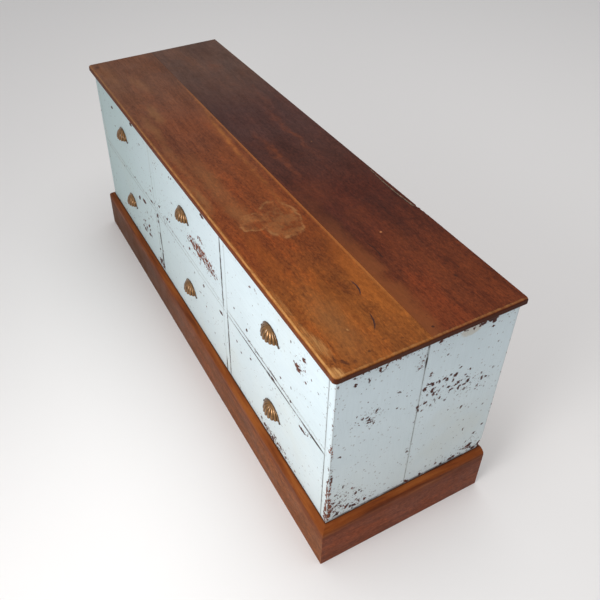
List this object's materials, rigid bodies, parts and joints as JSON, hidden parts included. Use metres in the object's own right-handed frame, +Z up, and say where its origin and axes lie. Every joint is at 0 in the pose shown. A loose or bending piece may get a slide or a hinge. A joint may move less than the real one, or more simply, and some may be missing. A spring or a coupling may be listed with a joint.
{
  "type": "chest of drawers",
  "caption": "Long, low shop chest of drawers: painted carcass with flush drawers, brass cup pulls, hardwood top and mitred plinth.",
  "frame": {"origin": "on the floor, in the middle of the whole chest's box", "axes": "+X along the chest to the viewer's right from the front, drawers open towards -Y, +Z up"},
  "size_m": [1.536, 0.46, 0.635],
  "materials": {
    "blue_paint": "aged satin duck-egg blue paint on wood, chipped to dark red-brown at the edges",
    "top_hardwood": "waxed red-brown hardwood, worn paler at the front edge and darker at the back",
    "plinth_hardwood": "satin red-brown hardwood with a paler rounded top edge",
    "pine": "bare aged softwood",
    "brass": "aged brass, rubbed bright on the flutes",
    "steel": "darkened steel"
  },
  "bodies": {
    "carcass": {"top_front_board": "top_hardwood", "top_back_board": "top_hardwood", "left_end_front_plank": "blue_paint", "left_end_back_plank": "blue_paint", "right_end_front_plank": "blue_paint", "right_end_back_plank": "blue_paint", "dividers": "blue_paint", "carcass_bottom": "blue_paint", "middle_rails": "blue_paint", "top_rails": "blue_paint", "drawer_runners": "pine", "drawer_kickers": "pine", "drawer_stops": "pine", "back_boards": "pine", "back_nails": "steel", "plinth_front": "plinth_hardwood", "plinth_left_return": "plinth_hardwood", "plinth_right_return": "plinth_hardwood"},
    "lower_left_drawer": {"lower_left_drawer_front": "blue_paint", "lower_left_drawer_left_side": "pine", "lower_left_drawer_right_side": "pine", "lower_left_drawer_back": "pine", "lower_left_drawer_bottom": "pine", "lower_left_cup_pull": "brass", "lower_left_pull_screws": "steel"},
    "lower_middle_drawer": {"lower_middle_drawer_front": "blue_paint", "lower_middle_drawer_left_side": "pine", "lower_middle_drawer_right_side": "pine", "lower_middle_drawer_back": "pine", "lower_middle_drawer_bottom": "pine", "lower_middle_cup_pull": "brass", "lower_middle_pull_screws": "steel"},
    "lower_right_drawer": {"lower_right_drawer_front": "blue_paint", "lower_right_drawer_left_side": "pine", "lower_right_drawer_right_side": "pine", "lower_right_drawer_back": "pine", "lower_right_drawer_bottom": "pine", "lower_right_cup_pull": "brass", "lower_right_pull_screws": "steel"},
    "upper_left_drawer": {"upper_left_drawer_front": "blue_paint", "upper_left_drawer_left_side": "pine", "upper_left_drawer_right_side": "pine", "upper_left_drawer_back": "pine", "upper_left_drawer_bottom": "pine", "upper_left_cup_pull": "brass", "upper_left_pull_screws": "steel"},
    "upper_middle_drawer": {"upper_middle_drawer_front": "blue_paint", "upper_middle_drawer_left_side": "pine", "upper_middle_drawer_right_side": "pine", "upper_middle_drawer_back": "pine", "upper_middle_drawer_bottom": "pine", "upper_middle_cup_pull": "brass", "upper_middle_pull_screws": "steel"},
    "upper_right_drawer": {"upper_right_drawer_front": "blue_paint", "upper_right_drawer_left_side": "pine", "upper_right_drawer_right_side": "pine", "upper_right_drawer_back": "pine", "upper_right_drawer_bottom": "pine", "upper_right_cup_pull": "brass", "upper_right_pull_screws": "steel"}
  },
  "joints": [
    {"name": "lower_left_drawer_slide", "type": "slide", "parent": "carcass", "child": "lower_left_drawer", "axis": [0, -1, 0], "range_m": [0, 0.3]},
    {"name": "lower_middle_drawer_slide", "type": "slide", "parent": "carcass", "child": "lower_middle_drawer", "axis": [0, -1, 0], "range_m": [0, 0.3]},
    {"name": "lower_right_drawer_slide", "type": "slide", "parent": "carcass", "child": "lower_right_drawer", "axis": [0, -1, 0], "range_m": [0, 0.3]},
    {"name": "upper_left_drawer_slide", "type": "slide", "parent": "carcass", "child": "upper_left_drawer", "axis": [0, -1, 0], "range_m": [0, 0.3]},
    {"name": "upper_middle_drawer_slide", "type": "slide", "parent": "carcass", "child": "upper_middle_drawer", "axis": [0, -1, 0], "range_m": [0, 0.3]},
    {"name": "upper_right_drawer_slide", "type": "slide", "parent": "carcass", "child": "upper_right_drawer", "axis": [0, -1, 0], "range_m": [0, 0.3]}
  ]
}
